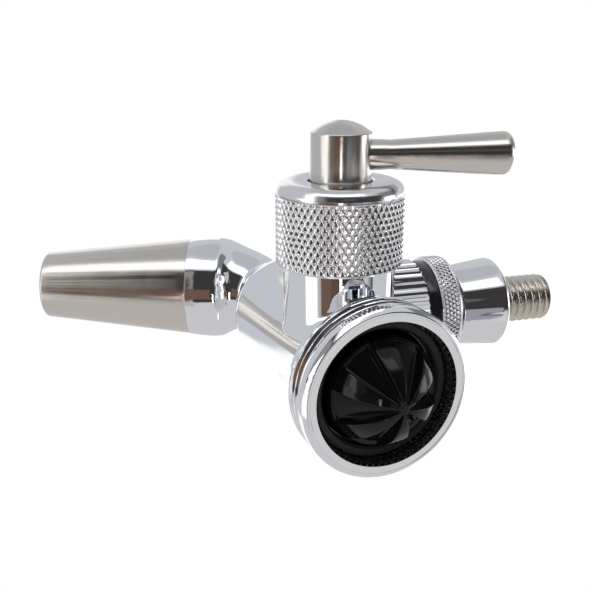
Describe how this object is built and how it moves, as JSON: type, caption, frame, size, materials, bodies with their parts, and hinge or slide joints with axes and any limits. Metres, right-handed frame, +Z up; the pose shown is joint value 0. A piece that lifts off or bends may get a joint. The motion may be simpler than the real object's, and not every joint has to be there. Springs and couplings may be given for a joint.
{
  "type": "beer faucet",
  "caption": "Forward-sealing beer faucet with a side flow-control lever, knurled gland and bonnet rings, handle stud and tapered spout nozzle.",
  "frame": {"origin": "centre of the inlet's end face, on the inlet's axis", "axes": "+Y out of the inlet towards the shank, +Z up towards the tap handle, +X towards the flow-control lever, -Y towards the drinker"},
  "size_m": [0.0547, 0.0929, 0.1],
  "materials": {
    "chrome": "bright chrome plate on brass",
    "brushed_steel": "stainless steel with a fine brushed grain",
    "turned_steel": "turned stainless steel",
    "spring_steel": "spring steel",
    "brass": "turned brass",
    "black_rubber": "satin moulded rubber",
    "black_gasket": "smooth hard gasket",
    "gloss_black_plastic": "polished moulding",
    "black_plastic": "satin moulding",
    "white_acetal": "satin acetal"
  },
  "bodies": {
    "body": {"faucet_body": "chrome", "nozzle": "brushed_steel", "nozzle_o_ring": "black_rubber", "inlet_seal": "black_rubber", "bonnet_gasket": "black_gasket", "bonnet_ring": "chrome", "ball_seat": "white_acetal", "friction_ring": "white_acetal", "ball_o_ring": "black_rubber", "shaft_bush": "brass", "bush_o_ring": "black_rubber", "thrust_washer": "white_acetal", "gland_nut": "chrome", "shaft_o_rings": "black_rubber"},
    "handle": {"handle_lever": "turned_steel", "handle_ferrule": "chrome"},
    "shuttle": {"shuttle": "black_plastic", "shuttle_o_ring": "black_rubber", "seal_retainer": "turned_steel"},
    "flow_lever": {"flow_shaft": "turned_steel", "eccentric_pin": "turned_steel", "shaft_clip": "spring_steel", "lever_hub": "brushed_steel", "lever_arm": "brushed_steel"},
    "compensator": {"compensator": "gloss_black_plastic"}
  },
  "joints": [
    {"name": "handle_tilt", "type": "hinge", "parent": "body", "child": "handle", "pos_m": [0, -0.03723, 0.02442], "axis": [1, 0, 0], "range_deg": [0, 12]},
    {"name": "shuttle_slide", "type": "slide", "parent": "body", "child": "shuttle", "axis": [0, 1, 0], "range_m": [0, 0.00515]},
    {"name": "flow_lever_turn", "type": "hinge", "parent": "body", "child": "flow_lever", "pos_m": [0.03475, -0.0198, 0], "axis": [1, 0, 0], "range_deg": [-45, 45]},
    {"name": "compensator_slide", "type": "slide", "parent": "body", "child": "compensator", "axis": [0, -1, 0], "range_m": [-0.00213, 0.00213]}
  ],
  "couplings": [
    {"joint": "shuttle_slide", "follows": "handle_tilt", "m_per_rad": 0.0245},
    {"joint": "compensator_slide", "follows": "flow_lever_turn", "m_per_rad": 0.0027}
  ]
}
